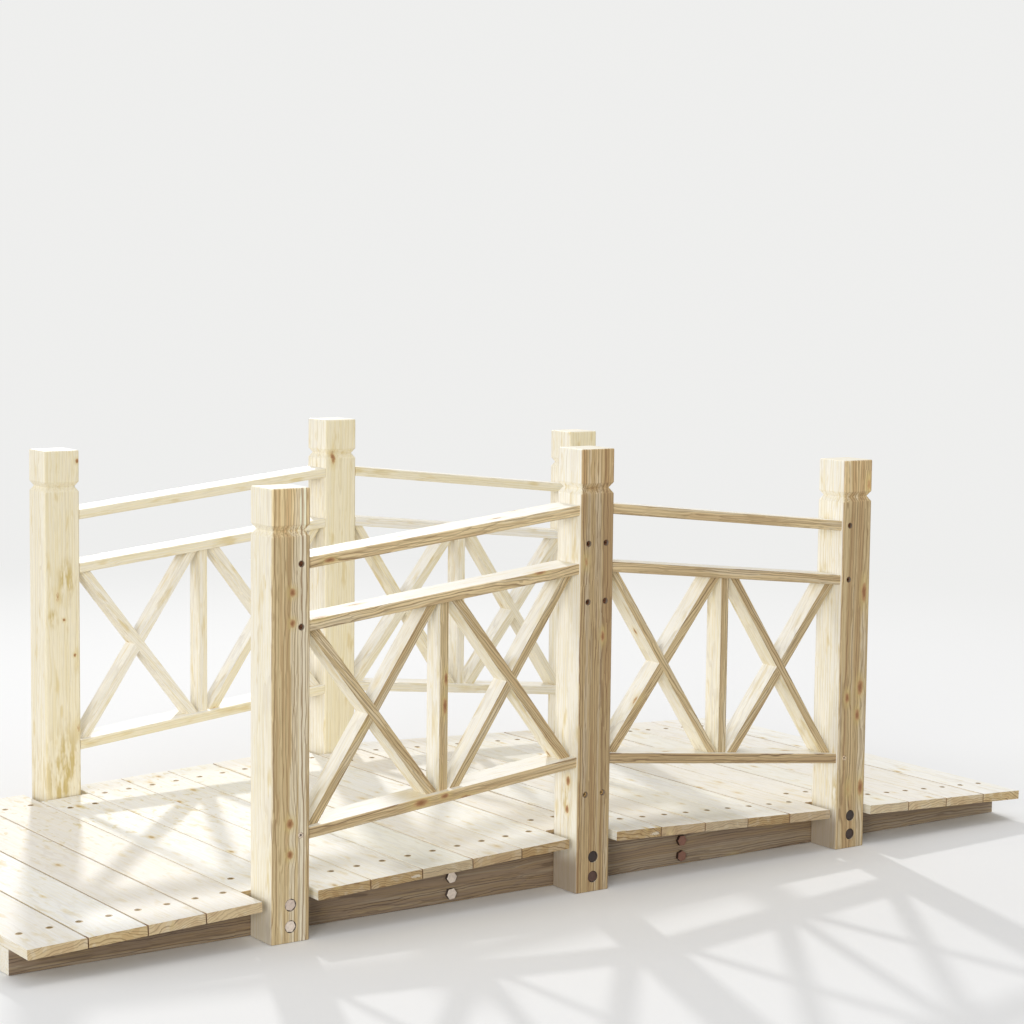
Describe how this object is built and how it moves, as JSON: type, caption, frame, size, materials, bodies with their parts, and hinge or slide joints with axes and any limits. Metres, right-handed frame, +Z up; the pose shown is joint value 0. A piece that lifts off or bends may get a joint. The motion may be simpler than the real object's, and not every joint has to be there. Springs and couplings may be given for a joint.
{
  "type": "wooden footbridge",
  "caption": "Low arched wooden garden footbridge with a board deck on two stringers, square posts, sloping rails and crossed braces on both sides.",
  "frame": {"origin": "on the ground, under the middle of the bridge", "axes": "+X along the bridge, +Y across it, +Z up"},
  "size_m": [1.5209, 0.67, 0.557],
  "materials": {
    "post_wood": "planed softwood under clear varnish, straight grain with small knots",
    "rail_wood": "planed softwood under clear varnish, fine straight grain",
    "brace_wood": "planed softwood under clear varnish, fine straight grain",
    "deck_wood": "planed softwood boards under clear varnish, each of its own tone",
    "stringer_wood": "planed softwood under clear varnish, straight grain",
    "bolt_metal": "dull plated steel with a warm tint",
    "screw_metal": "dark brass-toned plated steel"
  },
  "bodies": {
    "root": {"back_left_bottom_rail": "rail_wood", "back_left_falling_braces": "brace_wood", "back_left_handrail": "rail_wood", "back_left_middle_rail": "rail_wood", "back_left_post": "post_wood", "back_left_rising_braces": "brace_wood", "back_left_stringer": "stringer_wood", "back_left_upright_bar": "brace_wood", "back_middle_post": "post_wood", "back_post_blocks": "stringer_wood", "back_right_bottom_rail": "rail_wood", "back_right_falling_braces": "brace_wood", "back_right_handrail": "rail_wood", "back_right_middle_rail": "rail_wood", "back_right_post": "post_wood", "back_right_rising_braces": "brace_wood", "back_right_stringer": "stringer_wood", "back_right_upright_bar": "brace_wood", "back_splice_board": "stringer_wood", "front_left_bottom_rail": "rail_wood", "front_left_falling_braces": "brace_wood", "front_left_handrail": "rail_wood", "front_left_middle_rail": "rail_wood", "front_left_post": "post_wood", "front_left_rising_braces": "brace_wood", "front_left_stringer": "stringer_wood", "front_left_upright_bar": "brace_wood", "front_middle_post": "post_wood", "front_post_blocks": "stringer_wood", "front_right_bottom_rail": "rail_wood", "front_right_falling_braces": "brace_wood", "front_right_handrail": "rail_wood", "front_right_middle_rail": "rail_wood", "front_right_post": "post_wood", "front_right_rising_braces": "brace_wood", "front_right_stringer": "stringer_wood", "front_right_upright_bar": "brace_wood", "front_splice_board": "stringer_wood", "left_bay_boards": "deck_wood", "left_post_board": "deck_wood", "left_ramp_boards": "deck_wood", "middle_post_board": "deck_wood", "right_bay_boards": "deck_wood", "right_post_board": "deck_wood", "right_ramp_boards": "deck_wood"}
  },
  "joints": []
}
